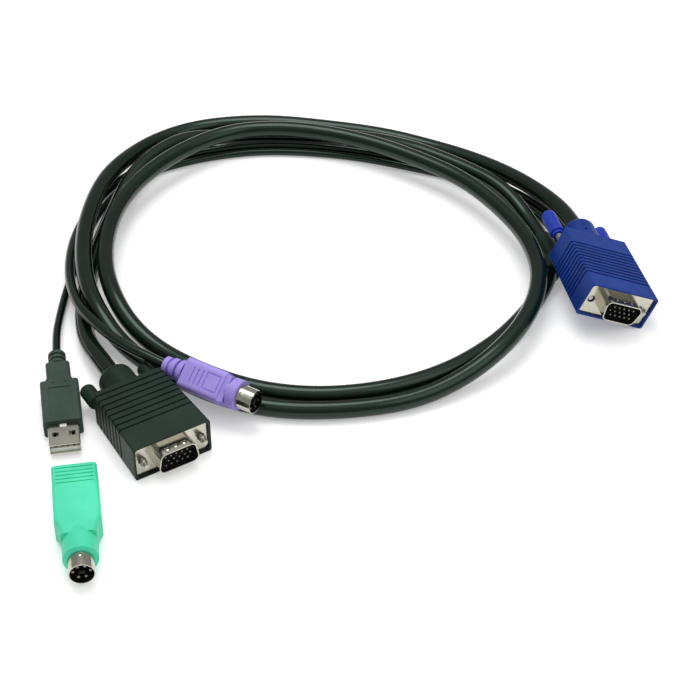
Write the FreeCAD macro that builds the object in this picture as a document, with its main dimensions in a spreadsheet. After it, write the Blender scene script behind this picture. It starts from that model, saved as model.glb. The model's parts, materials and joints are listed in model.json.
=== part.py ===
import FreeCAD, Part
import math
import os

# KVM cable: a trunk cable with a video plug at each end, a keyboard plug and a USB plug on side leads,
# and the small adapter that fits on the USB plug. Millimetres, +Z up, laid out on the table as used.
# Each plug is drawn along +X (its mating direction) and then set down on the table by its placement.

SIZES = {
    # video plug: moulded hood, a little narrower at its back
    "kvm_hood_length": 40.4,
    "kvm_hood_narrowing": 1.2,
    "pc_hood_length": 37.4,
    "pc_hood_narrowing": 3.0,
    "hood_height": 15.6,
    "hood_round": 1.1,
    "hood_back_round": 1.4,
    "boss_radius": 7.3,
    "kvm_boss_length": 14.1,
    "pc_boss_length": 13.1,
    "boss_round": 3.0,
    "boss_dot_radius": 0.6,
    "boss_dot_depth": 0.5,
    "groove_width": 0.9,
    "groove_depth": 0.5,
    "kvm_groove_start": 9.2,
    "kvm_groove_end": 10.6,
    "kvm_groove_count": 10,
    "pc_groove_start": 12.6,
    "pc_groove_end": 2.8,
    "pc_groove_count": 8,
    # video plug: pressed shell, insulator and pins
    "rim_depth": 1.1,
    "rim_wall": 0.85,
    "flange_ear": 2.9,
    "flange_height": 14.0,
    "flange_thickness": 0.8,
    "flange_round": 1.2,
    "flange_clearance": 0.05,
    "flange_hole_radius": 1.65,
    "skirt_width": 17.7,
    "skirt_height": 9.2,
    "skirt_narrowing": 1.6,
    "skirt_wall": 0.4,
    "skirt_length": 6.2,
    "skirt_round": 2.6,
    "kvm_dimple": 0.9,
    "pc_dimple": 1.9,
    "dimple_depth": 0.2,
    "dimple_pitch": 3.5,
    "dimple_shift": 0.8,
    "insulator_depth": 1.0,
    "insulator_clearance": 0.03,
    "pin_radius": 0.34,
    "pin_length": 4.2,
    "pin_pitch": 2.29,
    "pin_row_gap": 1.98,
    "pin_row_shift": 1.145,
    # video plug: captive thumbscrews
    "screw_spacing": 25.0,
    "screw_radius": 1.42,
    "screw_clearance": 0.08,
    "screw_reach": 2.2,
    "screw_chamfer": 0.4,
    "screw_point_radius": 1.0,
    "screw_point_length": 1.8,
    "knob_radius": 3.2,
    "kvm_knob_length": 14.2,
    "pc_knob_length": 10.0,
    "knob_round": 2.0,
    "knob_edge_round": 0.7,
    "knob_gap": 2.0,
    "knob_collar_radius": 2.3,
    "knob_collar_clearance": 0.4,
    "slot_width": 0.9,
    "slot_depth": 1.4,
    "kvm_left_draw_back": 1.8,
    "kvm_right_draw_back": 4.6,
    "pc_left_draw_back": 0.0,
    "pc_right_draw_back": 0.0,
    # bare end of each strain relief behind its first ring
    "relief_end": 0.3,
    # USB plug
    "usb_boot_length": 24.2,
    "usb_boot_width": 15.2,
    "usb_boot_height": 8.0,
    "usb_boot_round": 1.4,
    "usb_flare_length": 4.0,
    "usb_flare_radius": 4.6,
    "usb_neck_width": 9.6,
    "usb_neck_height": 7.2,
    "usb_neck_length": 7.6,
    "usb_relief_radius": 2.9,
    "usb_relief_length": 8.0,
    "usb_ring_radius": 3.6,
    "usb_panel_start": 4.2,
    "usb_panel_length": 15.8,
    "usb_panel_width": 9.0,
    "usb_panel_depth": 0.3,
    "usb_dot_radius": 0.5,
    "usb_dot_start": 1.4,
    "usb_dot_spacing": 5.0,
    "usb_shell_width": 12.0,
    "usb_shell_height": 4.5,
    "usb_shell_wall": 0.3,
    "usb_shell_round": 0.5,
    "usb_shell_length": 11.9,
    "usb_window_start": 4.5,
    "usb_window_length": 2.6,
    "usb_window_width": 2.5,
    "usb_window_spacing": 6.4,
    "usb_notch_length": 1.8,
    "usb_notch_width": 2.6,
    "usb_tongue_height": 1.9,
    "usb_tongue_setback": 0.9,
    "usb_tongue_clearance": 0.05,
    "usb_contact_width": 1.0,
    "usb_contact_length": 7.4,
    "usb_contact_thickness": 0.15,
    "usb_contact_setback": 0.6,
    # socket in the adapter, made for the USB plug
    "socket_clearance": 0.25,
    "socket_wall": 0.35,
    "socket_depth": 12.4,
    "socket_tongue_width": 8.0,
    "socket_tongue_height": 1.6,
    "socket_tongue_lift": 1.0,
    "socket_tongue_setback": 1.2,
    "socket_contact_setback": 2.2,
    # round six-pin plug end, shared by the keyboard plug and the adapter
    "din_radius": 4.75,
    "din_wall": 0.35,
    "din_insulator_depth": 2.2,
    "din_pin_radius": 0.5,
    "din_pin_length": 4.0,
    "din_key_width": 2.2,
    "din_key_height": 1.3,
    "din_key_length": 4.2,
    "din_dent_radius": 1.0,
    "din_dent_depth": 0.2,
    # keyboard plug
    "key_din_length": 6.9,
    "key_collar_radius": 6.1,
    "key_collar_length": 3.8,
    "key_groove_radius": 4.9,
    "key_groove_length": 0.8,
    "key_front_length": 2.2,
    "key_front_drop": 2.0,
    "key_body_length": 18.2,
    "key_body_width": 12.6,
    "key_body_height": 10.8,
    "key_body_round": 2.0,
    "key_relief_radius": 3.0,
    "key_relief_length": 10.8,
    "key_ring_radius": 3.7,
    "key_ring_growth": 0.5,
    "key_line_depth": 0.35,
    "key_line_width": 0.6,
    "key_line_start": 4.2,
    "key_line_pitch": 2.1,
    "key_line_length": 6.6,
    "key_panel_start": 10.4,
    "key_panel_length": 6.6,
    "key_panel_width": 7.2,
    # adapter
    "ad_length": 44.7,
    "ad_din_length": 7.4,
    "ad_body_width": 17.0,
    "ad_body_height": 11.4,
    "ad_body_round": 1.6,
    "ad_flare_length": 7.0,
    "ad_flare_radius": 14.0,
    "ad_neck_radius": 6.5,
    "ad_neck_length": 8.5,
    "ad_nose_radius": 3.6,
    "ad_nose_length": 14.0,
    "ad_grip_depth": 0.35,
    "ad_grip_width": 0.7,
    "ad_grip_start": 1.4,
    "ad_grip_pitch": 2.0,
    "ad_grip_length": 14.0,
    "ad_grip_count": 5,
    # cables and the moulding where the trunk divides
    "trunk_diameter": 7.4,
    "video_diameter": 7.4,
    "keyboard_diameter": 4.2,
    "usb_diameter": 3.4,
    "sleeve_radius": 4.4,
    "sleeve_in": 11.0,
    "sleeve_out": 15.0,
    "tail_length": 15.0,
    "tail_width": 12.4,
    "tail_height": 5.0,
    "tail_round": 1.6,
    "lead_spacing": 4.7,
}

# Where each plug lies: front of its hood, boot or body (x, y, z), then yaw, pitch and roll in degrees.
LAYOUT = {
    "kvm": (108.5, -7.2, 13.52, -77.7, 0.0, -24.5),
    "pc": (-67.8, -86.9, 7.8, -57.8, 0.0, 180.0),
    "usb": (-111.5, -70.4, 4.2, -79.5, 0.0, 0.0),
    "keyboard": (-43.1, -61.9, 13.0, -31.3, 0.0, 38.0),
    "adapter": (-103.7, -98.2, 5.75, -80.5, -1.4, 0.0),
    "breakout": (87.0, 37.0, 4.4, 90.0, 0.0, 0.0),
}
SLEEVE_IN_YAW = 74.0
SLEEVE_OUT_YAW = 107.0
TAIL_YAW = 99.0
TAIL_END = (92.1, 50.4, 2.6)

# Cable routes between their ends, chosen by hand to follow the photograph: x, y, z of each bend.
TRUNK_BENDS = [
    (94.2, 58.2, 12.6), (86.5, 74.5, 11), (74, 92.5, 9), (57.5, 109.5, 6.6), (39, 123.5, 4.2),
    (16, 134.5, 4), (-10, 141, 4), (-41, 146.5, 4), (-72, 142.5, 4), (-92.5, 128.5, 5.2),
    (-105.5, 105.5, 9.2), (-112.5, 84, 11.8), (-116, 58, 11.8), (-115.5, 35, 11.8), (-111.3, 10.5, 11.8),
    (-104.3, -6.5, 10.6), (-96, -19, 6.5), (-85, -30, 4), (-70, -41, 4), (-52, -52.5, 4),
    (-30, -60, 4), (-2, -60, 4), (24, -54.5, 4), (44, -43.5, 6.2), (61, -29, 10.6),
    (72, -11, 12), (78, 9, 12.2), (78.5, 27, 12), (74, 47, 11.8), (64, 67, 11.8),
    (51, 86, 11.8), (34, 100.5, 11.8), (12, 115, 11.8), (-12, 125, 11.8), (-36, 129, 11.8),
    (-58, 125.5, 11.8), (-78, 111, 11.8), (-93, 92, 11.8), (-102, 72, 11.8), (-106, 50, 11.8),
    (-105.3, 25.5, 11.8), (-99.6, 4, 11.2), (-91, -11, 7.2), (-79, -23, 4), (-62, -36, 4),
    (-40, -47.5, 4), (-15, -52, 4), (12, -48.5, 4), (36, -38.5, 4), (56, -22, 4),
    (70, -4, 4.1), (80.6, 14.8, 4.4),
]
VIDEO_BENDS = [
    (79.1, 62.8, 4.6), (72, 77.5, 7.4), (64.5, 87.7, 8.8), (55.5, 96.5, 8.9), (42, 107, 8.9),
    (26, 117.5, 8.9), (5, 129.3, 6), (-18, 134, 4), (-42, 135.5, 4), (-63, 132, 4.8),
    (-79, 124, 8.8), (-91, 111.5, 9), (-100.5, 95, 7.6), (-106, 75, 4.4), (-110, 50, 4),
    (-112, 27, 4), (-112.5, 5, 4), (-109.7, -13, 4.2), (-105.9, -23.7, 5.8), (-100.3, -33.8, 7.3),
]
KEYBOARD_BENDS = [
    (94.2, 60, 2.4), (88.8, 72.5, 2.4), (80, 84, 2.4), (67, 95.5, 2.4), (50, 106.5, 2.4),
    (29, 114.8, 2.4), (8, 122.3, 2.4), (-15, 127, 2.4), (-40, 128.7, 2.4), (-61, 125.5, 2.4),
    (-80, 119, 2.4), (-97, 110, 2.4), (-109.5, 96, 2.4), (-117.5, 78, 2.4), (-122, 57, 2.6),
    (-121.8, 36, 5.7), (-119, 15.5, 8), (-112.6, -4.5, 11.5), (-104, -17.8, 13.2), (-95, -28.2, 13.4),
    (-84.4, -36.8, 13.6),
]
USB_BENDS = [
    (89.6, 59.5, 2), (84.6, 70.5, 2), (76.4, 81, 2), (64, 92.2, 2), (47.9, 102.4, 2),
    (27.4, 110.4, 2), (6.7, 117.8, 2), (-15.6, 122.5, 2), (-40, 124.2, 2), (-60, 121, 2),
    (-78, 114.7, 2), (-94, 106, 2), (-105.8, 92.8, 2), (-113.2, 75.8, 2), (-117.3, 57, 2),
    (-118.5, 40, 2), (-121, 22, 2), (-121.9, 2, 2.2), (-121.5, -15, 3.8),
]

# Widths worked out from the standard spacing of the screws.
FLANGE_WIDTH = "(d.screw_spacing + 2 * d.flange_ear)"
POCKET_WIDTH = "(%s + 2 * d.flange_clearance)" % FLANGE_WIDTH
HOOD_WIDTH = "(%s + 2 * d.rim_wall)" % POCKET_WIDTH

V = FreeCAD.Vector
AXIS_X = V(1, 0, 0)
AXIS_Y = V(0, 1, 0)
AXIS_Z = V(0, 0, 1)
TURN_Z_TO_X = FreeCAD.Rotation(AXIS_Y, 90)
TURN_Y_TO_X = FreeCAD.Rotation(AXIS_Z, -90)
TURN_XYZ_TO_YZX = FreeCAD.Rotation(V(1, 1, 1), 120)

DOC = FreeCAD.newDocument("kvm_cable")
NODES = {}


def make_sheet():
    sheet = DOC.addObject("Spreadsheet::Sheet", "d")
    for row, (alias, value) in enumerate(SIZES.items(), 1):
        sheet.set("A%d" % row, alias)
        sheet.set("B%d" % row, str(value))
        sheet.setAlias("B%d" % row, alias)
    DOC.recompute()
    return sheet


SHEET = make_sheet()


def size(alias):
    return float(getattr(SHEET, alias))


def primitive(kind, name, at, turn=None, **formulas):
    """A Part primitive whose sizes and position follow formulas over the sheet."""
    obj = DOC.addObject(kind, name)
    if turn:
        obj.Placement = FreeCAD.Placement(V(), turn)
    for prop, formula in formulas.items():
        obj.setExpression(prop, formula)
    for axis, formula in zip("xyz", at):
        obj.setExpression("Placement.Base." + axis, formula)
    return obj


def block(name, start, length, width, height, y="0", z="0"):
    """A box from start along +X, centred on y and z."""
    at = (start, "%s - (%s) / 2" % (y, width), "%s - (%s) / 2" % (z, height))
    return primitive("Part::Box", name, at, Length=length, Width=width, Height=height)


def rod(name, start, length, radius, y="0", z="0"):
    """A cylinder from start along +X."""
    return primitive("Part::Cylinder", name, (start, y, z), TURN_Z_TO_X, Height=length, Radius=radius)


def cone(name, start, length, radius_1, radius_2):
    return primitive("Part::Cone", name, (start, "0", "0"), TURN_Z_TO_X,
                     Height=length, Radius1=radius_1, Radius2=radius_2)


def taper(name, start, length, width_1, height_1, width_2, height_2):
    """A block that goes from one section to another along +X, centred on the axis."""
    return primitive("Part::Wedge", name, (start, "0", "0"), TURN_Y_TO_X, Ymin="0", Ymax=length,
                     Xmin="-(%s) / 2" % width_1, Xmax="(%s) / 2" % width_1,
                     Zmin="-(%s) / 2" % height_1, Zmax="(%s) / 2" % height_1,
                     X2min="-(%s) / 2" % width_2, X2max="(%s) / 2" % width_2,
                     Z2min="-(%s) / 2" % height_2, Z2max="(%s) / 2" % height_2)


def d_block(name, start, length, inset):
    """The D section of the video plug, wide side up, drawn in by inset all round."""
    wide = "(d.skirt_width / 2 - %s)" % inset
    narrow = "(d.skirt_width / 2 - d.skirt_narrowing - %s)" % inset
    half = "(d.skirt_height / 2 - %s)" % inset
    end = "%s + %s" % (start, length)
    return primitive("Part::Wedge", name, ("0", "0", "0"), TURN_XYZ_TO_YZX,
                     Ymin="-" + half, Ymax=half, Xmin="-" + narrow, Xmax=narrow, X2min="-" + wide, X2max=wide,
                     Zmin=start, Z2min=start, Zmax=end, Z2max=end)


def fuse(name, shapes):
    obj = DOC.addObject("Part::MultiFuse", name)
    obj.Shapes = shapes
    return obj


def cut(name, base, tool):
    obj = DOC.addObject("Part::Cut", name)
    obj.Base = base
    obj.Tool = tool
    return obj


def gather(name, shapes):
    obj = DOC.addObject("Part::Compound", name)
    obj.Links = shapes
    return obj


def round_edges(name, base, choices):
    """Fillet the straight or round edges of base; choices pairs a test on an edge with a radius."""
    DOC.recompute()
    obj = DOC.addObject("Part::Fillet", name)
    obj.Base = base
    edges = []
    for number, edge in enumerate(base.Shape.Edges, 1):
        for test, radius in choices:
            if test(edge):
                edges.append((number, radius, radius))
                break
    obj.Edges = edges
    return obj


def runs_along(axis):
    def test(edge):
        first, last = edge.Vertexes[0].Point, edge.Vertexes[-1].Point
        return first.distanceToPoint(last) > 0 and abs((last - first).normalize().dot(axis)) > 0.99
    return test


def stands_at_back(start):
    """Upright edges whose middle lies at x = start."""
    upright = runs_along(AXIS_Z)
    return lambda edge: upright(edge) and abs(edge.CenterOfMass.x - start) < 1e-6


def circles_at(start):
    return lambda edge: edge.isClosed() and abs(edge.CenterOfMass.x - start) < 1e-6


def is_arc(edge):
    return edge.Curve.TypeId == "Part::GeomCircle"


def scooped_block(name, start, length, width, height, waist, radius, end, edge_round):
    """A block along +X whose sides are scooped in to a waist; the scoops are deepest at x = end."""
    base = block(name + "_block", start, length, width, height)
    scoops = []
    for side, sign in (("left", ""), ("right", "-")):
        at = (end, "%s((%s) / 2 + %s)" % (sign, waist, radius), "-(%s)" % height)
        scoops.append(primitive("Part::Cylinder", "%s_%s_scoop" % (name, side), at,
                                Radius=radius, Height="2 * (%s)" % height))
    waisted = cut(name + "_waisted", base, gather(name + "_scoops", scoops))
    return round_edges(name, waisted, [(is_arc, edge_round)])


def round_block(name, start, length, width, height, radius, y="0", z="0"):
    """A block with its long edges rounded."""
    base = block(name + "_block", start, length, width, height, y, z)
    return round_edges(name, base, [(runs_along(AXIS_X), radius)])


def pose(name):
    x, y, z, yaw, pitch, roll = LAYOUT[name]
    return FreeCAD.Placement(V(x, y, z), FreeCAD.Rotation(yaw, pitch, roll))


def heading(yaw):
    angle = math.radians(yaw)
    return V(math.cos(angle), math.sin(angle), 0)


def keep(name, obj, where):
    """Set a finished piece down on the table and list it for export."""
    obj.Placement = where
    NODES[name] = obj


def relief_rings(name, rear, pitch, width, radius, growth="0"):
    """Three rings of a strain relief, growing towards the plug."""
    rings = []
    for n in range(3):
        start = "%s + %d * (%s)" % (rear, n, pitch)
        rings.append(rod("%s_%d" % (name, n), start, width, "%s + %d * (%s)" % (radius, n, growth)))
    return rings


def tapered_hood(name, end, inset, edge_round, back_round):
    """The hood's outside, drawn in by inset all round."""
    length = "d.%s_hood_length" % end
    height = "d.hood_height - 2 * " + inset
    front_width = "%s - 2 * %s" % (HOOD_WIDTH, inset)
    back_width = "%s - d.%s_hood_narrowing" % (front_width, end)
    base = taper(name + "_block", "-" + length, length, back_width, height, front_width, height)
    choices = [(runs_along(AXIS_X), edge_round)]
    if back_round:
        choices.append((stands_at_back(-size(end + "_hood_length")), back_round))
    return round_edges(name, base, choices)


def hood_grooves(end):
    """Finger grooves that run round the hood, evenly spaced between the first and the last."""
    core = tapered_hood(end + "_groove_core", end, "d.groove_depth",
                        size("hood_round") - size("groove_depth"), 0)
    count = int(size(end + "_groove_count"))
    pitch = "(d.{0}_hood_length - d.{0}_groove_start - d.{0}_groove_end) / {1}".format(end, count - 1)
    slabs = []
    for n in range(count):
        start = "-d.%s_groove_start - %d * %s - d.groove_width / 2" % (end, n, pitch)
        slabs.append(block("%s_slab_%d" % (end, n), start, "d.groove_width",
                           HOOD_WIDTH + " + 2", "d.hood_height + 2"))
    return cut(end + "_groove_rings", gather(end + "_slabs", slabs), core)


def video_hood(end):
    """Moulded hood with finger grooves all round, a pocket for the flange and two screw holes."""
    length = "d.%s_hood_length" % end
    body = tapered_hood(end + "_hood_body", end, "0", size("hood_round"), size("hood_back_round"))
    rear = "-%s - d.%s_boss_length" % (length, end)
    boss = rod(end + "_boss_rod", rear, "d.%s_boss_length + 1" % end, "d.boss_radius")
    rear_x = -size(end + "_hood_length") - size(end + "_boss_length")
    boss = round_edges(end + "_boss", boss, [(circles_at(rear_x), size("boss_round"))])
    pocket = round_block(end + "_pocket", "-d.rim_depth - d.flange_thickness",
                         "d.rim_depth + d.flange_thickness + 1", POCKET_WIDTH,
                         "d.flange_height + 2 * d.flange_clearance",
                         size("flange_round") + size("flange_clearance"))
    openings = [pocket]
    for side, sign in (("left", ""), ("right", "-")):
        openings.append(rod("%s_%s_bore" % (end, side), "-%s - 1" % length, "%s + 2" % length,
                            "d.screw_radius + d.screw_clearance", y=sign + "d.screw_spacing / 2"))
    if end == "kvm":
        openings.append(primitive("Part::Cylinder", "boss_dot",
                                  ("-%s - d.kvm_boss_length / 3" % length, "-d.boss_radius / 3",
                                   "d.boss_radius - 2 * d.boss_dot_depth"),
                                  Radius="d.boss_dot_radius", Height="3 * d.boss_dot_depth"))
    hood = cut(end + "_grooved", fuse(end + "_moulding", [body, boss]), hood_grooves(end))
    return cut(end + "_hood", hood, fuse(end + "_openings", openings))


def video_shell(end):
    """Pressed flange with a D-shaped skirt, dimpled on both broad sides."""
    flange = round_block(end + "_flange", "-d.rim_depth - d.flange_thickness", "d.flange_thickness",
                         FLANGE_WIDTH, "d.flange_height", size("flange_round"))
    outer = round_edges(end + "_skirt", d_block(end + "_skirt_block", "-d.rim_depth", "d.skirt_length", "0"),
                        [(runs_along(AXIS_X), size("skirt_round"))])
    inner = round_edges(end + "_mouth",
                        d_block(end + "_mouth_block", "-d.rim_depth", "d.skirt_length + 1", "d.skirt_wall"),
                        [(runs_along(AXIS_X), size("skirt_round") - size("skirt_wall"))])
    tools = [inner]
    for side, sign in (("left", ""), ("right", "-")):
        tools.append(rod("%s_%s_flange_hole" % (end, side), "-d.rim_depth - d.flange_thickness - 1",
                         "d.flange_thickness + 2", "d.flange_hole_radius", y=sign + "d.screw_spacing / 2"))
    for side, sign in (("top", ""), ("bottom", "-")):
        for n in (-1, 0, 1):
            tools.append(block("%s_%s_dimple_%d" % (end, side, n + 1),
                               "-d.rim_depth + d.skirt_length / 2 + d.dimple_shift - d.%s_dimple / 2" % end,
                               "d.%s_dimple" % end, "d.%s_dimple" % end, "2 * d.dimple_depth",
                               y="%d * d.dimple_pitch" % n, z=sign + "d.skirt_height / 2"))
    return cut(end + "_shell", fuse(end + "_pressing", [flange, outer]), gather(end + "_shell_tools", tools))


def video_insulator(end):
    base = d_block(end + "_insulator_block", "-d.rim_depth", "d.insulator_depth",
                   "(d.skirt_wall + d.insulator_clearance)")
    corner = size("skirt_round") - size("skirt_wall")
    return round_edges(end + "_insulator", base, [(runs_along(AXIS_X), corner)])


def video_pins(end):
    """Three rows of five pins; the middle row is set over by half a pitch."""
    pins = []
    for row in (-1, 0, 1):
        shift = "d.pin_row_shift / 2" if row else "-d.pin_row_shift / 2"
        for n in range(5):
            pins.append(rod("%s_pin_%d_%d" % (end, row + 1, n), "-d.rim_depth + d.insulator_depth",
                            "d.pin_length", "d.pin_radius", y="%d * d.pin_pitch + %s" % (n - 2, shift),
                            z="%d * d.pin_row_gap" % row))
    return gather(end + "_pins", pins)


def thumbscrew(end, side, sign):
    """A captive screw with a thin point and its smooth knob with a driver slot; returns both pieces."""
    name = "%s_%s" % (end, side)
    y = sign + "d.screw_spacing / 2"
    back = "-d.%s_hood_length - d.%s_draw_back" % (end, name)
    front = back + " - d.knob_gap"
    collar_end = back + " - d.knob_collar_clearance"
    rear = front + " - d.%s_knob_length" % end
    knob = rod(name + "_knob_rod", rear, "d.%s_knob_length" % end, "d.knob_radius", y=y)
    front_x = -size(end + "_hood_length") - size("knob_gap") - size(name + "_draw_back")
    knob = round_edges(name + "_knob_round", knob, [
        (circles_at(front_x - size(end + "_knob_length")), size("knob_round")),
        (circles_at(front_x), size("knob_edge_round")),
    ])
    collar = rod(name + "_collar", front + " - 1", "1 + d.knob_gap - d.knob_collar_clearance",
                 "d.knob_collar_radius", y=y)
    slot = block(name + "_slot", rear + " - 1", "1 + d.slot_depth", "2 * d.knob_radius + 2",
                 "d.slot_width", y=y)
    shoulder = "-d.rim_depth - d.%s_draw_back + d.screw_reach" % name
    screw = [
        rod(name + "_shank", collar_end, "(%s) - (%s) - d.screw_chamfer" % (shoulder, collar_end),
            "d.screw_radius", y=y),
        primitive("Part::Cone", name + "_shoulder", (shoulder + " - d.screw_chamfer", y, "0"), TURN_Z_TO_X,
                  Height="d.screw_chamfer", Radius1="d.screw_radius", Radius2="d.screw_point_radius"),
        rod(name + "_point", shoulder, "d.screw_point_length", "d.screw_point_radius", y=y),
    ]
    return cut(name + "_knob", fuse(name + "_handle", [knob, collar]), slot), fuse(name + "_screw", screw)


def video_plug(end):
    where = pose(end)
    keep(end + "_hood", video_hood(end), where)
    keep(end + "_shell", video_shell(end), where)
    keep(end + "_insulator", video_insulator(end), where)
    keep(end + "_pins", video_pins(end), where)
    for side, sign in (("left", ""), ("right", "-")):
        knob, screw = thumbscrew(end, side, sign)
        keep("%s_%s_knob" % (end, side), knob, where)
        keep("%s_%s_screw" % (end, side), screw, where)


def usb_boot():
    """Boot with a sunk plain panel, two dots, hollow shoulders, a neck and a ringed strain relief."""
    shoulder = "-d.usb_boot_length"
    flare = shoulder + " - d.usb_flare_length"
    neck = flare + " - d.usb_neck_length"
    rear = neck + " - d.usb_relief_length"
    parts = [
        round_block("usb_block", shoulder, "d.usb_boot_length", "d.usb_boot_width", "d.usb_boot_height",
                    size("usb_boot_round")),
        scooped_block("usb_shoulders", flare, "d.usb_flare_length", "d.usb_boot_width", "d.usb_neck_height",
                      "d.usb_neck_width", "d.usb_flare_radius", flare, size("usb_boot_round")),
        round_block("usb_neck", neck, "d.usb_neck_length + d.usb_flare_length", "d.usb_neck_width",
                    "d.usb_neck_height", size("usb_boot_round")),
        rod("usb_relief", rear, "d.usb_relief_length + 1", "d.usb_relief_radius"),
    ]
    parts += relief_rings("usb_ring", rear + " + d.relief_end", "d.usb_relief_length / 3",
                          "d.usb_relief_length / 5", "d.usb_ring_radius")
    tools = [block("usb_panel", shoulder + " + d.usb_panel_start", "d.usb_panel_length", "d.usb_panel_width",
                   "2 * d.usb_panel_depth", z="d.usb_boot_height / 2")]
    for side, sign in (("left", ""), ("right", "-")):
        tools.append(primitive("Part::Cylinder", "usb_dot_" + side,
                               (shoulder + " + d.usb_dot_start", sign + "d.usb_dot_spacing / 2",
                                "d.usb_boot_height / 2 - d.usb_panel_depth"),
                               Radius="d.usb_dot_radius", Height="2 * d.usb_panel_depth"))
    return cut("usb_boot", fuse("usb_moulding", parts), gather("usb_boot_tools", tools))


def usb_shell():
    """Flat folded shell with two windows in each broad side and a notch by the boot."""
    outer = round_block("usb_shell_outer", "0", "d.usb_shell_length", "d.usb_shell_width",
                        "d.usb_shell_height", size("usb_shell_round"))
    inner = block("usb_shell_inner", "-1", "d.usb_shell_length + 2",
                  "d.usb_shell_width - 2 * d.usb_shell_wall", "d.usb_shell_height - 2 * d.usb_shell_wall")
    through = "2 * d.usb_shell_wall + 0.4"
    holes = [block("usb_notch", "-1", "1 + d.usb_notch_length", "d.usb_notch_width", through,
                   z="d.usb_shell_height / 2")]
    for side, sign in (("left", ""), ("right", "-")):
        for face, up in (("top", ""), ("bottom", "-")):
            holes.append(block("usb_window_%s_%s" % (face, side), "d.usb_window_start", "d.usb_window_length",
                               "d.usb_window_width", through, y=sign + "d.usb_window_spacing / 2",
                               z=up + "d.usb_shell_height / 2"))
    tube = cut("usb_shell_tube", outer, inner)
    return cut("usb_shell", tube, gather("usb_shell_holes", holes))


def contact_strips(name, start, length, z):
    """Four flat contacts at the standard offsets."""
    strips = []
    for n, offset in enumerate((-3.5, -1.0, 1.0, 3.5)):
        strips.append(block("%s_%d" % (name, n), start, length, "d.usb_contact_width",
                            "d.usb_contact_thickness", y=str(offset), z=z))
    return gather(name, strips)


def usb_plug():
    where = pose("usb")
    floor = "(-d.usb_shell_height / 2 + d.usb_shell_wall)"
    keep("usb_boot", usb_boot(), where)
    keep("usb_shell", usb_shell(), where)
    tongue = block("usb_tongue_block", "0", "d.usb_shell_length - d.usb_tongue_setback",
                   "d.usb_shell_width - 2 * (d.usb_shell_wall + d.usb_tongue_clearance)",
                   "d.usb_tongue_height", z=floor + " + d.usb_tongue_height / 2")
    keep("usb_tongue", gather("usb_tongue", [tongue]), where)
    start = "d.usb_shell_length - d.usb_tongue_setback - d.usb_contact_setback - d.usb_contact_length"
    level = floor + " + d.usb_tongue_height + d.usb_contact_thickness / 2"
    keep("usb_contacts", contact_strips("usb_contacts", start, "d.usb_contact_length", level), where)


def din_end(name, where, start, length):
    """Round six-pin plug end: dimpled metal shell, insulator with key and six pins."""
    outer = rod(name + "_shell_outer", start, length, "d.din_radius")
    inner = rod(name + "_shell_inner", start + " - 1", length + " + 2", "d.din_radius - d.din_wall")
    dent = primitive("Part::Cylinder", name + "_dent",
                     (start + " + 0.3 * " + length, "0", "d.din_radius - d.din_dent_depth"),
                     Radius="d.din_dent_radius", Height="2 * d.din_dent_depth")
    tube = cut(name + "_shell_tube", outer, inner)
    keep(name + "_shell", cut(name + "_shell", tube, dent), where)
    disc = rod(name + "_disc", start, "d.din_insulator_depth", "d.din_radius - d.din_wall")
    key = block(name + "_key", start + " + 1", "d.din_insulator_depth + d.din_key_length - 1",
                "d.din_key_width", "d.din_key_height")
    keep(name + "_insulator", fuse(name + "_insulator", [disc, key]), where)
    pins = []
    for n, (y, z) in enumerate([(-1.3, 2.5), (1.3, 2.5), (-3.1, 0.4), (3.1, 0.4), (-1.3, -2.3), (1.3, -2.3)]):
        pins.append(rod("%s_pin_%d" % (name, n), start + " + d.din_insulator_depth", "d.din_pin_length",
                        "d.din_pin_radius", y=str(y), z=str(z)))
    keep(name + "_pins", gather(name + "_pins", pins), where)


def keyboard_boot():
    """Body with sloped front, grip lines and plain panel outline, between a round collar and a relief."""
    groove = "-d.key_collar_length - d.key_groove_length"
    front = groove + " - d.key_front_length"
    back = front + " - d.key_body_length"
    rear = back + " - d.key_relief_length"
    parts = [
        rod("key_collar", "-d.key_collar_length", "d.key_collar_length", "d.key_collar_radius"),
        rod("key_groove", groove + " - 1", "d.key_groove_length + 2", "d.key_groove_radius"),
        taper("key_front", front, "d.key_front_length", "d.key_body_width - 1", "d.key_body_height - 1",
              "d.key_body_width - d.key_front_drop", "d.key_body_height - d.key_front_drop"),
        round_block("key_body", back, "d.key_body_length", "d.key_body_width", "d.key_body_height",
                    size("key_body_round")),
        rod("key_relief", rear, "d.key_relief_length + 1", "d.key_relief_radius"),
    ]
    parts += relief_rings("key_ring", rear + " + d.relief_end", "d.key_relief_length / 3",
                          "d.key_relief_length / 5", "d.key_ring_radius", "d.key_ring_growth")
    top = "d.key_body_height / 2"
    depth = "2 * d.key_line_depth"
    tools = []
    for n in range(3):
        tools.append(block("key_line_%d" % n, back + " + d.key_line_start + %d * d.key_line_pitch" % n,
                           "d.key_line_width", "d.key_line_length", depth, z=top))
    panel = block("key_panel_outer", back + " + d.key_panel_start", "d.key_panel_length", "d.key_panel_width",
                  depth, z=top)
    inside = block("key_panel_inner", back + " + d.key_panel_start + d.key_line_width",
                   "d.key_panel_length - 2 * d.key_line_width", "d.key_panel_width - 2 * d.key_line_width",
                   "2 * " + depth, z=top)
    tools.append(cut("key_panel", panel, inside))
    return cut("keyboard_boot", fuse("key_moulding", parts), gather("key_tools", tools))


def keyboard_plug():
    where = pose("keyboard")
    keep("keyboard_boot", keyboard_boot(), where)
    din_end("keyboard", where, "0", "d.key_din_length")


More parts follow.
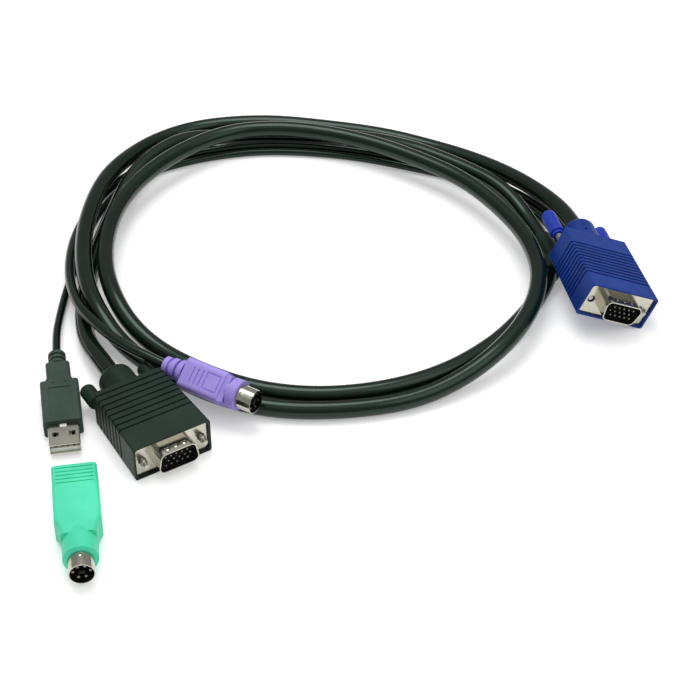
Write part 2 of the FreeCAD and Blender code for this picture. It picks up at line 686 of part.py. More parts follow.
def adapter_body():
    """Flat body with grip lines and a socket opening, drawn in through hollow shoulders to a round neck."""
    neck = "d.ad_length - d.ad_neck_length"
    flare = neck + " - d.ad_flare_length"
    parts = [
        round_block("ad_block", "0", flare, "d.ad_body_width", "d.ad_body_height", size("ad_body_round")),
        scooped_block("ad_shoulders", flare, "d.ad_flare_length", "d.ad_body_width", "d.ad_body_height",
                      "2 * d.ad_neck_radius", "d.ad_flare_radius", neck, size("ad_body_round")),
        rod("ad_neck", neck, "d.ad_neck_length", "d.ad_neck_radius"),
        cone("ad_nose", neck + " - d.ad_nose_length", "d.ad_nose_length",
             "d.ad_nose_radius", "d.ad_neck_radius"),
    ]
    tools = [block("ad_opening", "-1", "1 + d.socket_depth", socket_width("d.socket_wall"),
                   socket_height("d.socket_wall"))]
    for n in range(int(size("ad_grip_count"))):
        tools.append(block("ad_grip_%d" % n, "d.ad_grip_start + %d * d.ad_grip_pitch" % n, "d.ad_grip_width",
                           "d.ad_grip_length", "2 * d.ad_grip_depth", z="d.ad_body_height / 2"))
    return cut("adapter_body", fuse("ad_moulding", parts), gather("ad_tools", tools))


def socket_width(wall):
    return "d.usb_shell_width + 2 * d.socket_clearance + 2 * (%s)" % wall


def socket_height(wall):
    return "d.usb_shell_height + 2 * d.socket_clearance + 2 * (%s)" % wall


def adapter():
    where = pose("adapter")
    keep("adapter_body", adapter_body(), where)
    lining = block("socket_outer", "0", "d.socket_depth", socket_width("d.socket_wall"),
                   socket_height("d.socket_wall"))
    mouth = block("socket_inner", "-1", "d.socket_depth + 2", socket_width("0"), socket_height("0"))
    keep("adapter_socket_shell", cut("adapter_socket_shell", lining, mouth), where)
    tongue = block("socket_tongue_block", "d.socket_tongue_setback",
                   "d.socket_depth - d.socket_tongue_setback", "d.socket_tongue_width",
                   "d.socket_tongue_height", z="d.socket_tongue_lift")
    keep("adapter_socket_tongue", gather("adapter_socket_tongue", [tongue]), where)
    keep("adapter_socket_contacts", contact_strips(
        "adapter_socket_contacts", "d.socket_contact_setback", "d.usb_contact_length",
        "d.socket_tongue_lift - d.socket_tongue_height / 2 - d.usb_contact_thickness / 2"), where)
    din_end("adapter_din", where, "d.ad_length", "d.ad_din_length")


def breakout():
    """Bent sleeve on the trunk with a flat tail that lets out the two thin leads."""
    centre = V(*LAYOUT["breakout"][:3])
    arms = []
    for name, yaw, start, length in (("sleeve_in", SLEEVE_IN_YAW, "-d.sleeve_in", "d.sleeve_in"),
                                     ("sleeve_out", SLEEVE_OUT_YAW, "0", "d.sleeve_out")):
        ball = primitive("Part::Sphere", name + "_ball", ("0", "0", "0"), Radius="d.sleeve_radius")
        arm = fuse(name, [rod(name + "_rod", start, length, "d.sleeve_radius"), ball])
        arm.Placement = FreeCAD.Placement(centre, FreeCAD.Rotation(yaw, 0, 0))
        arms.append(arm)
    tail = round_block("tail", "-d.tail_length", "d.tail_length", "d.tail_width", "d.tail_height",
                       size("tail_round"))
    tail.Placement = FreeCAD.Placement(V(*TAIL_END), FreeCAD.Rotation(TAIL_YAW, 0, 0))
    keep("breakout", fuse("breakout", arms + [tail]), FreeCAD.Placement())


def tangent_path(points):
    """Straight runs joined by arcs that touch both runs; returns the wire and the radius at each bend."""
    edges = []
    radii = []
    last = points[0]
    for before, corner, after in zip(points, points[1:], points[2:]):
        back = (before - corner).normalize()
        on = (after - corner).normalize()
        half_turn = (math.pi - back.getAngle(on)) / 2
        reach = 0.45 * min(before.distanceToPoint(corner), after.distanceToPoint(corner))
        radius = reach / math.tan(half_turn)
        centre = corner + (back + on).normalize() * (radius / math.cos(half_turn))
        middle = centre + (corner - centre).normalize() * radius
        enter = corner + back * reach
        leave = corner + on * reach
        edges.append(Part.LineSegment(last, enter).toShape())
        edges.append(Part.Arc(enter, middle, leave).toShape())
        radii.append(radius)
        last = leave
    edges.append(Part.LineSegment(last, points[-1]).toShape())
    return Part.Wire(edges), radii


def cable(name, first, bends, last, diameter):
    """A round cable swept along its route, with its length, bends and volume printed."""
    points = [first] + [V(*bend) for bend in bends] + [last]
    path, radii = tangent_path(points)
    section = Part.Wire(Part.Circle(points[0], points[1] - points[0], diameter / 2).toShape())
    obj = DOC.addObject("Part::Feature", name)
    obj.Shape = path.makePipeShell([section], True, False)
    expected = math.pi * diameter ** 2 / 4 * path.Length
    print("%s: length %.1f mm, tightest bend %.1f diameters, volume %.4f of section times length"
          % (name, path.Length, min(radii) / diameter, obj.Shape.Volume / expected))
    keep(name, obj, FreeCAD.Placement())


def cables():
    fork = V(*LAYOUT["breakout"][:3])
    tail = FreeCAD.Placement(V(*TAIL_END), FreeCAD.Rotation(TAIL_YAW, 0, 0))
    kvm_rear = V(-size("kvm_hood_length") - size("kvm_boss_length"), 0, 0)
    pc_rear = V(-size("pc_hood_length") - size("pc_boss_length"), 0, 0)
    usb_rear = V(-size("usb_boot_length") - size("usb_flare_length") - size("usb_neck_length")
                 - size("usb_relief_length"), 0, 0)
    key_rear = V(-size("key_collar_length") - size("key_groove_length") - size("key_front_length")
                 - size("key_body_length") - size("key_relief_length"), 0, 0)
    usb_exit = V(0, size("lead_spacing") * 0.25, -0.6)
    key_exit = V(0, -size("lead_spacing") * 0.75, -0.2)
    cable("trunk_cable", pose("kvm").multVec(kvm_rear), TRUNK_BENDS,
          fork - heading(SLEEVE_IN_YAW) * size("sleeve_in"), size("trunk_diameter"))
    cable("video_lead", fork + heading(SLEEVE_OUT_YAW) * size("sleeve_out"), VIDEO_BENDS,
          pose("pc").multVec(pc_rear), size("video_diameter"))
    cable("keyboard_lead", tail.multVec(key_exit), KEYBOARD_BENDS,
          pose("keyboard").multVec(key_rear), size("keyboard_diameter"))
    cable("usb_lead", tail.multVec(usb_exit), USB_BENDS, pose("usb").multVec(usb_rear), size("usb_diameter"))


def check_document():
    for obj in DOC.Objects:
        if "Invalid" in obj.State or "Error" in obj.State:
            raise RuntimeError("%s did not recompute: %s" % (obj.Name, obj.State))
        if hasattr(obj, "Shape") and (obj.Shape.isNull() or not obj.Shape.isValid()):
            raise RuntimeError("%s has a bad shape" % obj.Name)


def export_nodes():
    os.makedirs("parts", exist_ok=True)
    for name, obj in NODES.items():
        if not obj.Shape.Solids:
            raise RuntimeError("%s holds no solid" % name)
        obj.Shape.exportStep("parts/%s.step" % name)
        box = obj.Shape.BoundBox
        print("%-24s %9.1f mm3  x %.1f %.1f  y %.1f %.1f  z %.2f %.2f"
              % (name, obj.Shape.Volume, box.XMin, box.XMax, box.YMin, box.YMax, box.ZMin, box.ZMax))


video_plug("kvm")
video_plug("pc")
usb_plug()
keyboard_plug()
adapter()
breakout()
cables()
DOC.recompute()
check_document()
export_nodes()
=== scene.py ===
import json
import math

import bpy
from mathutils import Color, Euler, Matrix, Vector


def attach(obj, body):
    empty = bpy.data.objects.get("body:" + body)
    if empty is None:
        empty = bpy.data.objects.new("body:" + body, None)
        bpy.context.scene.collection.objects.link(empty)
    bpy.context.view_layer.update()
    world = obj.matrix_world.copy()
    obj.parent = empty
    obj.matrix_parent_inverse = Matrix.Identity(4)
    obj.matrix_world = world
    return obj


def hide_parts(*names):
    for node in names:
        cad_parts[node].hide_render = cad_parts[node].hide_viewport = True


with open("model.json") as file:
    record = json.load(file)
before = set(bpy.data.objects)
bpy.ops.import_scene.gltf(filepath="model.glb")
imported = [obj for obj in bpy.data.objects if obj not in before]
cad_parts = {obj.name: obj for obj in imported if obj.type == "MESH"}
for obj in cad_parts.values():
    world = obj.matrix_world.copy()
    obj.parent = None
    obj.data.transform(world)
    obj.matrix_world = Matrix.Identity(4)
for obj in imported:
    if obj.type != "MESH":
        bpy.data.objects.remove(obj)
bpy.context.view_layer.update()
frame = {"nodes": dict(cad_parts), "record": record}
NODES = frame["nodes"]
ROOT = "cable_set"

# Camera of the photograph: it looks along +Y, 40 degrees down, from about 0.75 m. The tilt counts from
# straight down.
CAMERA_PLACE = (-0.001, -0.583, 0.4735)
CAMERA_TILT_DEG = 50.0
PHOTO_PIXELS = 700
FOCAL_PIXELS = 1800
SENSOR_MM = 36.0

# Studio sky: its strength overhead, the share left near the horizon, and the heights (sine of the
# elevation) between which one goes over into the other.
SKY_STRENGTH = 1.0
DIM_LIGHT = 0.36
DIM_BELOW = 0.62
BRIGHT_ABOVE = 0.92

# Round lamps above the part: place and diameter in metres, power in watts.
LAMPS = {
    "key_light": {"place": (-0.15, 0.3, 1.2), "diameter": 0.8, "power": 5.9},
    "fill_light": {"place": (0.7, -0.5, 0.9), "diameter": 0.9, "power": 1.9},
}

# Paper floor: its side in metres, its greys and roughness, and the share of white that it shows by itself to
# the camera and in reflections.
FLOOR_SIDE = 16.0
FLOOR_DARK = 0.93
FLOOR_LIGHT = 0.95
FLOOR_ROUGHNESS = 0.9
FLOOR_GLOW = 0.3

# Plain white, and the faint green cast of the gloss on the black pieces.
WHITE = (1.0, 1.0, 1.0, 1.0)
BLACK_GLOSS = (0.76, 1.0, 0.88, 1.0)

# Strength of the gloss on the plastics, where 0.5 is the full gloss of a refractive index of 1.5.
PLASTIC_SHEEN = 0.4
BLUE_SHEEN = 0.22
BLACK_SHEEN = 0.24
INSULATOR_SHEEN = 0.19
JACKET_SHEEN = 0.44

# Roughness of the finishes, from their glossiest patches to their most matt ones.
PLASTIC_ROUGHNESS = (0.42, 0.56)
KNOB_ROUGHNESS = (0.34, 0.46)
NICKEL_ROUGHNESS = (0.14, 0.22)
PIN_ROUGHNESS = (0.3, 0.4)
SCREW_ROUGHNESS = (0.24, 0.38)
JACKET_ROUGHNESS = (0.14, 0.22)

# Noise textures, in cells per metre: blotches of colour, patches of gloss, and the relief of fine grain or
# of lines drawn out along X.
PLASTIC_BLOTCHES = 60.0
PLASTIC_PATCHES = 240.0
PLASTIC_GRAIN = 1800.0
PLATING_BLOTCHES = 120.0
PLATING_LINES = 900.0
SCREW_BLOTCHES = 400.0
SCREW_PATCHES = 700.0
JACKET_BLOTCHES = 45.0
JACKET_PATCHES = 320.0
JACKET_GRAIN = 1500.0
PAPER_BLOTCHES = 3.0
LINE_STRETCH = (0.06, 1.0, 1.0)

# Octaves of the noise, the values of it between which a colour or a roughness goes from one end to the
# other, and the depths of the relief in metres.
NOISE_DETAIL = 3.0
GRAIN_DETAIL = 2.0
COLOUR_SPAN = (0.35, 0.65)
ROUGHNESS_SPAN = (0.3, 0.7)
GRAIN_DEPTH = 0.00004
LINE_DEPTH = 0.00001

# Thread of the captive screws, and the length of one band of a wave texture of scale 1, in metres.
THREAD_PITCH = 0.000635
BAND_AT_SCALE_1 = 2 * math.pi / 20

# Plugs that get small details, as they lie in the CAD model: origin in metres, then yaw, pitch and roll in
# degrees.
PLUG_POSES = {
    "kvm": ((0.1085, -0.0072, 0.01352), (-77.7, 0.0, -24.5)),
    "pc": ((-0.0678, -0.0869, 0.0078), (-57.8, 0.0, 180.0)),
    "usb": ((-0.1115, -0.0704, 0.0042), (-79.5, 0.0, 0.0)),
    "keyboard": ((-0.0431, -0.0619, 0.013), (-31.3, 0.0, 38.0)),
    "adapter": ((-0.1037, -0.0982, 0.00575), (-80.5, -1.4, 0.0)),
}

# Those details, in metres along the plug's own axes: the latch that fills the notch of the USB shell, in
# white plastic as a painted glint, the domes in the dents of the two round shells and in the dimples of the
# two video shells, and the bevelled end of the adapter's neck.
LATCH_CENTRE = (0.0009, 0.0, 0.002075)
LATCH_HALF = (0.0009, 0.0013, 0.000125)
DENT_CENTRE = {"keyboard": (0.00207, 0.0, 0.00455), "adapter": (0.04692, 0.0, 0.00455)}
DENT_HALF = (0.00085, 0.00085, 0.00028)
DIMPLE_ALONG = 0.0028
DIMPLE_PITCH = 0.0035
DIMPLE_LEVEL = 0.0044
DIMPLE_HALF = {"kvm": (0.00043, 0.00043, 0.00026), "pc": (0.0009, 0.0009, 0.0003)}
DOME_SEGMENTS = 16
DOME_RINGS = 8
NECK_FRONT = 0.0447
NECK_RADIUS = 0.0065
NECK_SIDES = 64
BEVEL_RADIUS = 0.0052
BEVEL_LENGTH = 0.0007

# Cables: diameter in metres, and how finely the curves are drawn round and along the jacket.
TRUNK_DIAMETER = 0.0074
VIDEO_DIAMETER = 0.0074
KEYBOARD_DIAMETER = 0.0042
USB_DIAMETER = 0.0034
STEPS_ROUND = 7
STEPS_ALONG = 8

# Cable routes, the same points as in the CAD model, in metres.
TRUNK_ROUTE = [
    (0.09689, 0.04605, 0.01352), (0.0942, 0.0582, 0.0126), (0.0865, 0.0745, 0.011), (0.074, 0.0925, 0.009),
    (0.0575, 0.1095, 0.0066), (0.039, 0.1235, 0.0042), (0.016, 0.1345, 0.004), (-0.01, 0.141, 0.004),
    (-0.041, 0.1465, 0.004), (-0.072, 0.1425, 0.004), (-0.0925, 0.1285, 0.0052), (-0.1055, 0.1055, 0.0092),
    (-0.1125, 0.084, 0.0118), (-0.116, 0.058, 0.0118), (-0.1155, 0.035, 0.0118), (-0.1113, 0.0105, 0.0118),
    (-0.1043, -0.0065, 0.0106), (-0.096, -0.019, 0.0065), (-0.085, -0.03, 0.004), (-0.07, -0.041, 0.004),
    (-0.052, -0.0525, 0.004), (-0.03, -0.06, 0.004), (-0.002, -0.06, 0.004), (0.024, -0.0545, 0.004),
    (0.044, -0.0435, 0.0062), (0.061, -0.029, 0.0106), (0.072, -0.011, 0.012), (0.078, 0.009, 0.0122),
    (0.0785, 0.027, 0.012), (0.074, 0.047, 0.0118), (0.064, 0.067, 0.0118), (0.051, 0.086, 0.0118),
    (0.034, 0.1005, 0.0118), (0.012, 0.115, 0.0118), (-0.012, 0.125, 0.0118), (-0.036, 0.129, 0.0118),
    (-0.058, 0.1255, 0.0118), (-0.078, 0.111, 0.0118), (-0.093, 0.092, 0.0118), (-0.102, 0.072, 0.0118),
    (-0.106, 0.05, 0.0118), (-0.1053, 0.0255, 0.0118), (-0.0996, 0.004, 0.0112), (-0.091, -0.011, 0.0072),
    (-0.079, -0.023, 0.004), (-0.062, -0.036, 0.004), (-0.04, -0.0475, 0.004), (-0.015, -0.052, 0.004),
    (0.012, -0.0485, 0.004), (0.036, -0.0385, 0.004), (0.056, -0.022, 0.004), (0.07, -0.004, 0.0041),
    (0.0806, 0.0148, 0.0044), (0.08397, 0.02643, 0.0044),
]
VIDEO_ROUTE = [
    (0.08261, 0.05134, 0.0044), (0.0791, 0.0628, 0.0046), (0.072, 0.0775, 0.0074), (0.0645, 0.0877, 0.0088),
    (0.0555, 0.0965, 0.0089), (0.042, 0.107, 0.0089), (0.026, 0.1175, 0.0089), (0.005, 0.1293, 0.006),
    (-0.018, 0.134, 0.004), (-0.042, 0.1355, 0.004), (-0.063, 0.132, 0.0048), (-0.079, 0.124, 0.0088),
    (-0.091, 0.1115, 0.009), (-0.1005, 0.095, 0.0076), (-0.106, 0.075, 0.0044), (-0.11, 0.05, 0.004),
    (-0.112, 0.027, 0.004), (-0.1125, 0.005, 0.004), (-0.1097, -0.013, 0.0042), (-0.1059, -0.0237, 0.0058),
    (-0.1003, -0.0338, 0.0073), (-0.09471, -0.04417, 0.0078),
]
KEYBOARD_ROUTE = [
    (0.09558, 0.05095, 0.0024), (0.0942, 0.06, 0.0024), (0.0888, 0.0725, 0.0024), (0.08, 0.084, 0.0024),
    (0.067, 0.0955, 0.0024), (0.05, 0.1065, 0.0024), (0.029, 0.1148, 0.0024), (0.008, 0.1223, 0.0024),
    (-0.015, 0.127, 0.0024), (-0.04, 0.1287, 0.0024), (-0.061, 0.1255, 0.0024), (-0.08, 0.119, 0.0024),
    (-0.097, 0.11, 0.0024), (-0.1095, 0.096, 0.0024), (-0.1175, 0.078, 0.0024), (-0.122, 0.057, 0.0026),
    (-0.1218, 0.036, 0.0057), (-0.119, 0.0155, 0.008), (-0.1126, -0.0045, 0.0115),
    (-0.104, -0.0178, 0.0132), (-0.095, -0.0282, 0.0134), (-0.0844, -0.0368, 0.0136),
    (-0.07369, -0.0433, 0.013),
]
USB_ROUTE = [
    (0.09094, 0.05022, 0.002), (0.0896, 0.0595, 0.002), (0.0846, 0.0705, 0.002), (0.0764, 0.081, 0.002),
    (0.064, 0.0922, 0.002), (0.0479, 0.1024, 0.002), (0.0274, 0.1104, 0.002), (0.0067, 0.1178, 0.002),
    (-0.0156, 0.1225, 0.002), (-0.04, 0.1242, 0.002), (-0.06, 0.121, 0.002), (-0.078, 0.1147, 0.002),
    (-0.094, 0.106, 0.002), (-0.1058, 0.0928, 0.002), (-0.1132, 0.0758, 0.002), (-0.1173, 0.057, 0.002),
    (-0.1185, 0.04, 0.002), (-0.121, 0.022, 0.002), (-0.1219, 0.002, 0.0022), (-0.1215, -0.015, 0.0038),
    (-0.11948, -0.02733, 0.0042),
]


def linear(red, green, blue):
    """Scene colour for a colour given as 0 to 255 on screen."""
    colour = Color((red / 255, green / 255, blue / 255))
    return (*colour.from_srgb_to_scene_linear(), 1.0)


def grey(level):
    return (level, level, level, 1.0)


def ramp(tree, factor, places, colours):
    """A colour that goes from the first of two colours to the second between two values of a socket."""
    node = tree.nodes.new("ShaderNodeValToRGB")
    for stop, place, colour in zip(node.color_ramp.elements, places, colours):
        stop.position = place
        stop.color = colour
    tree.links.new(factor, node.inputs["Fac"])
    return node.outputs["Color"]


class Shader:
    """A Principled material built up node by node."""

    def __init__(self, name):
        self.material = bpy.data.materials.new(name)
        self.material.use_nodes = True
        self.tree = self.material.node_tree
        self.nodes = self.tree.nodes
        self.links = self.tree.links
        self.surface = self.nodes["Principled BSDF"]
        self.place = self.nodes.new("ShaderNodeTexCoord").outputs["Object"]

    def set(self, **values):
        """Constants of the surface; an underscore stands for a space in the name of a socket."""
        for socket, value in values.items():
            self.surface.inputs[socket.replace("_", " ")].default_value = value

    def noise(self, scale, detail=NOISE_DETAIL, stretch=(1, 1, 1)):
        mapping = self.nodes.new("ShaderNodeMapping")
        mapping.inputs["Scale"].default_value = stretch
        self.links.new(self.place, mapping.inputs["Vector"])
        noise = self.nodes.new("ShaderNodeTexNoise")
        noise.inputs["Scale"].default_value = scale
        noise.inputs["Detail"].default_value = detail
        self.links.new(mapping.outputs["Vector"], noise.inputs["Vector"])
        return noise.outputs["Fac"]

    def bands(self, pitch, yaw_deg):
        """Triangular waves that follow each other along a flat axis at the given yaw."""
        mapping = self.nodes.new("ShaderNodeMapping")
        mapping.vector_type = "TEXTURE"
        mapping.inputs["Rotation"].default_value = (0, 0, math.radians(yaw_deg))
        self.links.new(self.place, mapping.inputs["Vector"])
        wave = self.nodes.new("ShaderNodeTexWave")
        wave.wave_profile = "TRI"
        wave.inputs["Scale"].default_value = BAND_AT_SCALE_1 / pitch
        self.links.new(mapping.outputs["Vector"], wave.inputs["Vector"])
        return wave.outputs["Fac"]

    def colour(self, factor, dark, light):
        shade = ramp(self.tree, factor, COLOUR_SPAN, (dark, light))
        self.links.new(shade, self.surface.inputs["Base Color"])

    def roughness(self, factor, low, high):
        span = self.nodes.new("ShaderNodeMapRange")
        span.inputs["From Min"].default_value = ROUGHNESS_SPAN[0]
        span.inputs["From Max"].default_value = ROUGHNESS_SPAN[1]
        span.inputs["To Min"].default_value = low
        span.inputs["To Max"].default_value = high
        self.links.new(factor, span.inputs["Value"])
        self.links.new(span.outputs["Result"], self.surface.inputs["Roughness"])

    def bump(self, height, strength, depth):
        bump = self.nodes.new("ShaderNodeBump")
        bump.inputs["Strength"].default_value = strength
        bump.inputs["Distance"].default_value = depth
        self.links.new(height, bump.inputs["Height"])
        self.links.new(bump.outputs["Normal"], self.surface.inputs["Normal"])

    def combine(self, operation, first, second):
        """One value worked out from a socket and a number or another socket."""
        node = self.nodes.new("ShaderNodeMath")
        node.operation = operation
        self.links.new(first, node.inputs[0])
        if isinstance(second, bpy.types.NodeSocket):
            self.links.new(second, node.inputs[1])
        else:
            node.inputs[1].default_value = second
        return node.outputs["Value"]


def moulded(name, dark, light, rough=PLASTIC_ROUGHNESS, sheen=PLASTIC_SHEEN, gloss=WHITE):
    """Moulded plastic: faint blotches in colour and gloss over a fine spark-eroded grain."""
    shader = Shader(name)
    shader.set(Specular_IOR_Level=sheen, Specular_Tint=gloss)
    shader.colour(shader.noise(PLASTIC_BLOTCHES), dark, light)
    shader.roughness(shader.noise(PLASTIC_PATCHES), *rough)
    shader.bump(shader.noise(PLASTIC_GRAIN, detail=GRAIN_DETAIL), strength=0.25, depth=GRAIN_DEPTH)
    return shader.material


def plated(name, dark, light, rough):
    """Plated metal with fine drawn lines and slightly uneven gloss."""
    shader = Shader(name)
    shader.set(Metallic=1.0)
    shader.colour(shader.noise(PLATING_BLOTCHES), dark, light)
    drawn = shader.noise(PLATING_LINES, stretch=LINE_STRETCH)
    shader.roughness(drawn, *rough)
    shader.bump(drawn, strength=0.03, depth=LINE_DEPTH)
    return shader.material


def threaded(name, yaw_deg):
    """Plated screw with a rolled thread round an axis that lies flat at the given yaw."""
    shader = Shader(name)
    shader.set(Metallic=1.0)
    shader.colour(shader.noise(SCREW_BLOTCHES), dark=linear(161, 157, 147), light=linear(183, 180, 168))
    shader.roughness(shader.noise(SCREW_PATCHES), *SCREW_ROUGHNESS)
    shader.bump(shader.bands(THREAD_PITCH, yaw_deg), strength=0.7, depth=THREAD_PITCH / 2)
    return shader.material


def jacket(name, dark, light):
    """Cable jacket: glossy PVC with faint matt patches and a fine extrusion grain."""
    shader = Shader(name)
    shader.set(Specular_IOR_Level=JACKET_SHEEN, Specular_Tint=BLACK_GLOSS)
    shader.colour(shader.noise(JACKET_BLOTCHES), dark, light)
    shader.roughness(shader.noise(JACKET_PATCHES), *JACKET_ROUGHNESS)
    shader.bump(shader.noise(JACKET_GRAIN, detail=GRAIN_DETAIL), strength=0.18, depth=GRAIN_DEPTH)
    return shader.material


def materials():
    """The finish of each material slot, with the darker and the lighter of its two shades."""
    return {
        "blue_moulding": moulded("blue_pvc", linear(15, 50, 129), linear(20, 60, 147), sheen=BLUE_SHEEN),
        "blue_knob": moulded("blue_knob_plastic", linear(15, 47, 157), linear(20, 56, 173),
                             rough=KNOB_ROUGHNESS),
        "black_moulding": moulded("black_pvc", linear(17, 33, 23), linear(29, 46, 35), sheen=BLACK_SHEEN,
                                  gloss=BLACK_GLOSS),
        "purple_moulding": moulded("purple_pvc", linear(154, 137, 220), linear(172, 153, 236)),
        "green_moulding": moulded("green_plastic", linear(73, 219, 174), linear(86, 236, 190)),
        "nickel_plate": plated("nickel_plate_metal", linear(183, 180, 167), linear(197, 193, 180),
                               rough=NICKEL_ROUGHNESS),
        "pin_metal": plated("pin_plating", linear(106, 104, 97), linear(129, 127, 119), rough=PIN_ROUGHNESS),
        "kvm_insulator": moulded("kvm_insulator_plastic", linear(17, 19, 19), linear(24, 26, 26),
                                 sheen=INSULATOR_SHEEN),
        "pc_insulator": moulded("pc_insulator_plastic", linear(15, 18, 17), linear(23, 25, 24),
                                sheen=INSULATOR_SHEEN),
        "black_insulator": moulded("insulator_plastic", linear(15, 18, 17), linear(23, 25, 24),
                                   sheen=INSULATOR_SHEEN),
        "pale_plastic": moulded("pale_insert", linear(226, 226, 216), linear(238, 238, 229)),
        "cable_jacket": jacket("cable_jacket_pvc", linear(3, 17, 8), linear(7, 24, 13)),
    }


def special_materials():
    """Finishes of single pieces: the USB boot's black, made paler as a painted sheen, and the threads of the
    screws.
    """
    special = {
        # Painted sheen: the boot's black plastic is lightened to stand for the light that its textured
        # surface reflects.
        "usb_boot": moulded("usb_boot_pvc", linear(53, 68, 60), linear(65, 80, 72), sheen=BLACK_SHEEN,
                            gloss=BLACK_GLOSS),
    }
    for joint in frame["record"]["behaviour"]["joints"]:
        side = joint["child"].replace("_thumbscrew", "")
        x, y = joint["axis"][:2]
        special[side + "_screw"] = threaded(side + "_thread", math.degrees(math.atan2(y, x)))
    return special


def dress_nodes(finishes, special):
    """Give each CAD piece the finish of its slot, or one of its own where special has it."""
    for part in frame["record"]["subparts"]:
        name = part["node"]
        materials_of_node = NODES[name].data.materials
        materials_of_node.clear()
        materials_of_node.append(special[name] if name in special else finishes[part["material_slot"]])


def cable(name, node, route, diameter, material):
    """A smooth cable along its route, standing for the CAD tube."""
    curve = bpy.data.curves.new(name, "CURVE")
    curve.dimensions = "3D"
    curve.bevel_depth = diameter / 2
    curve.bevel_resolution = STEPS_ROUND
    curve.use_fill_caps = True
    curve.resolution_u = STEPS_ALONG
    spline = curve.splines.new("NURBS")
    spline.points.add(len(route) - 1)
    for point, place in zip(spline.points, route):
        point.co = (*place, 1.0)
    spline.order_u = 3
    spline.use_endpoint_u = True
    curve.materials.append(material)
    obj = bpy.data.objects.new(name, curve)
    bpy.context.collection.objects.link(obj)
    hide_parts(node)
    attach(obj, ROOT)
    return obj


def cables(material):
    """The trunk and the three leads, each a smooth cable along its route."""
    trunk = cable("trunk_jacket", "trunk_cable", TRUNK_ROUTE, TRUNK_DIAMETER, material)
    video = cable("video_jacket", "video_lead", VIDEO_ROUTE, VIDEO_DIAMETER, material)
    keyboard = cable("keyboard_jacket", "keyboard_lead", KEYBOARD_ROUTE, KEYBOARD_DIAMETER, material)
    usb = cable("usb_jacket", "usb_lead", USB_ROUTE, USB_DIAMETER, material)


def place_on_plug(obj, name, plug, centre, material):
    """Name a small piece and set it on a plug, at a place in the plug's own frame."""
    origin, (yaw, pitch, roll) = PLUG_POSES[plug]
    turn = Euler([math.radians(angle) for angle in (roll, pitch, yaw)])
    obj.name = name
    obj.location = Vector(origin) + turn.to_matrix() @ Vector(centre)
    obj.rotation_euler = turn
    obj.data.materials.append(material)
    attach(obj, ROOT)


def usb_latch(material):
    """The latch in the notch of the USB shell, white as a painted glint. Before it is scaled, it reaches 1 m
    from its middle.
    """
    bpy.ops.mesh.primitive_cube_add(size=2.0)
    latch = bpy.context.object
    latch.scale = LATCH_HALF
    # Painted highlight: the latch is white plastic so that it shows the glint at the back of the USB shell.
    place_on_plug(latch, "usb_latch", "usb", LATCH_CENTRE, material)


def dome(name, plug, centre, half_size, material):
    """A flattened ball, sunk in the face of a shell."""
    bpy.ops.mesh.primitive_uv_sphere_add(segments=DOME_SEGMENTS, ring_count=DOME_RINGS, radius=1.0)
    ball = bpy.context.object
    ball.scale = half_size
    ball.data.shade_smooth()
    place_on_plug(ball, name, plug, centre, material)


def shell_domes(material):
    """Pressed domes: one on each round shell, three on both broad sides of each video shell."""
    for plug, centre in DENT_CENTRE.items():
        dome(plug + "_dent", plug, centre, DENT_HALF, material)
    for plug, half_size in DIMPLE_HALF.items():
        for side, level in (("top", DIMPLE_LEVEL), ("bottom", -DIMPLE_LEVEL)):
            for number, across in enumerate((-DIMPLE_PITCH, 0.0, DIMPLE_PITCH), start=1):
                name = "%s_%s_dimple_%d" % (plug, side, number)
                dome(name, plug, (DIMPLE_ALONG, across, level), half_size, material)


def adapter_bevel(material):
    """A short cone in front of the adapter's neck, turned from upright to lie along the plug."""
    bpy.ops.mesh.primitive_cone_add(vertices=NECK_SIDES, radius1=NECK_RADIUS, radius2=BEVEL_RADIUS,
                                    depth=BEVEL_LENGTH)
    bevel = bpy.context.object
    bevel.data.transform(Matrix.Rotation(math.pi / 2, 4, "Y"))
    centre = (NECK_FRONT + BEVEL_LENGTH / 2, 0.0, 0.0)
    place_on_plug(bevel, "adapter_bevel", "adapter", centre, material)


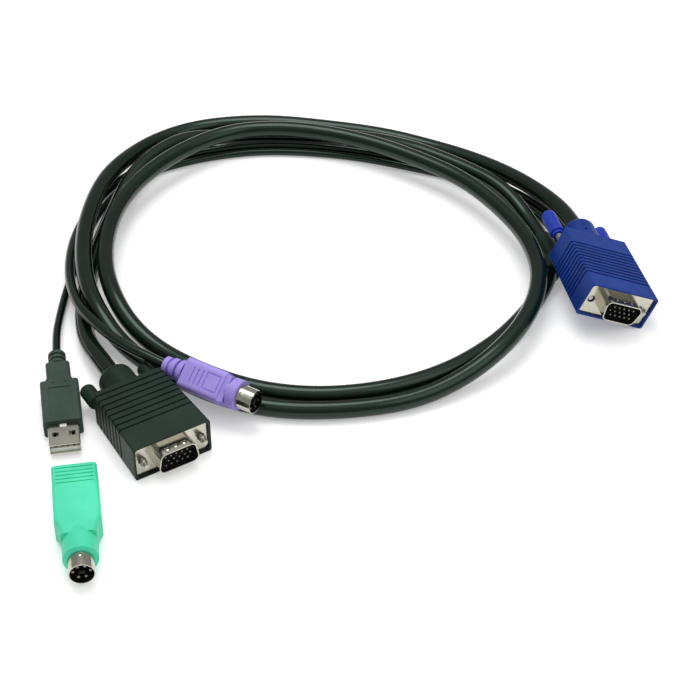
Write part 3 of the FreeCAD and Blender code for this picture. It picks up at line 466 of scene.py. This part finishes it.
def make_floor():
    """White paper. The camera and reflections see it a little brighter, which keeps its shadows light."""
    bpy.ops.mesh.primitive_plane_add(size=FLOOR_SIDE)
    floor = bpy.context.object
    floor.name = "floor"
    shader = Shader("floor_paper")
    shader.colour(shader.noise(PAPER_BLOTCHES), grey(FLOOR_DARK), grey(FLOOR_LIGHT))
    shader.set(Roughness=FLOOR_ROUGHNESS, Emission_Color=WHITE)
    light_path = shader.nodes.new("ShaderNodeLightPath").outputs
    seen = light_path["Is Camera Ray"]
    for kind in ("Is Glossy Ray", "Is Transmission Ray"):
        seen = shader.combine("ADD", seen, light_path[kind])
    glow = shader.combine("MULTIPLY", seen, FLOOR_GLOW)
    shader.links.new(glow, shader.surface.inputs["Emission Strength"])
    floor.data.materials.append(shader.material)


def make_sky():
    """White studio light from above that falls off towards the horizon, so that metal shows contrast."""
    world = bpy.data.worlds.new("studio")
    world.use_nodes = True
    tree = world.node_tree
    direction = tree.nodes.new("ShaderNodeSeparateXYZ")
    tree.links.new(tree.nodes.new("ShaderNodeTexCoord").outputs["Generated"], direction.inputs["Vector"])
    light = ramp(tree, direction.outputs["Z"], (DIM_BELOW, BRIGHT_ABOVE), (grey(DIM_LIGHT), WHITE))
    background = tree.nodes["Background"]
    tree.links.new(light, background.inputs["Color"])
    background.inputs["Strength"].default_value = SKY_STRENGTH
    bpy.context.scene.world = world


def lamp(name, place, diameter, power):
    """A round lamp that shines on the middle of the part."""
    light = bpy.data.lights.new(name, "AREA")
    light.shape = "DISK"
    light.size = diameter
    light.energy = power
    obj = bpy.data.objects.new(name, light)
    obj.location = place
    x, y, z = place
    obj.rotation_euler = (math.atan2(math.hypot(x, y), z), 0, math.atan2(x, -y))
    bpy.context.collection.objects.link(obj)


def make_lights():
    for name, settings in LAMPS.items():
        lamp(name, **settings)


def make_camera():
    data = bpy.data.cameras.new("photo_camera")
    data.sensor_fit = "HORIZONTAL"
    data.sensor_width = SENSOR_MM
    data.lens = SENSOR_MM * FOCAL_PIXELS / PHOTO_PIXELS
    camera = bpy.data.objects.new("photo_camera", data)
    camera.location = CAMERA_PLACE
    camera.rotation_euler = (math.radians(CAMERA_TILT_DEG), 0, 0)
    bpy.context.collection.objects.link(camera)
    bpy.context.scene.camera = camera


bpy.context.scene.view_settings.view_transform = "Standard"
finishes = materials()
dress_nodes(finishes, special_materials())
cables(finishes["cable_jacket"])
usb_latch(finishes["pale_plastic"])
shell_domes(finishes["nickel_plate"])
adapter_bevel(finishes["green_moulding"])
make_floor()
make_sky()
make_lights()
make_camera()
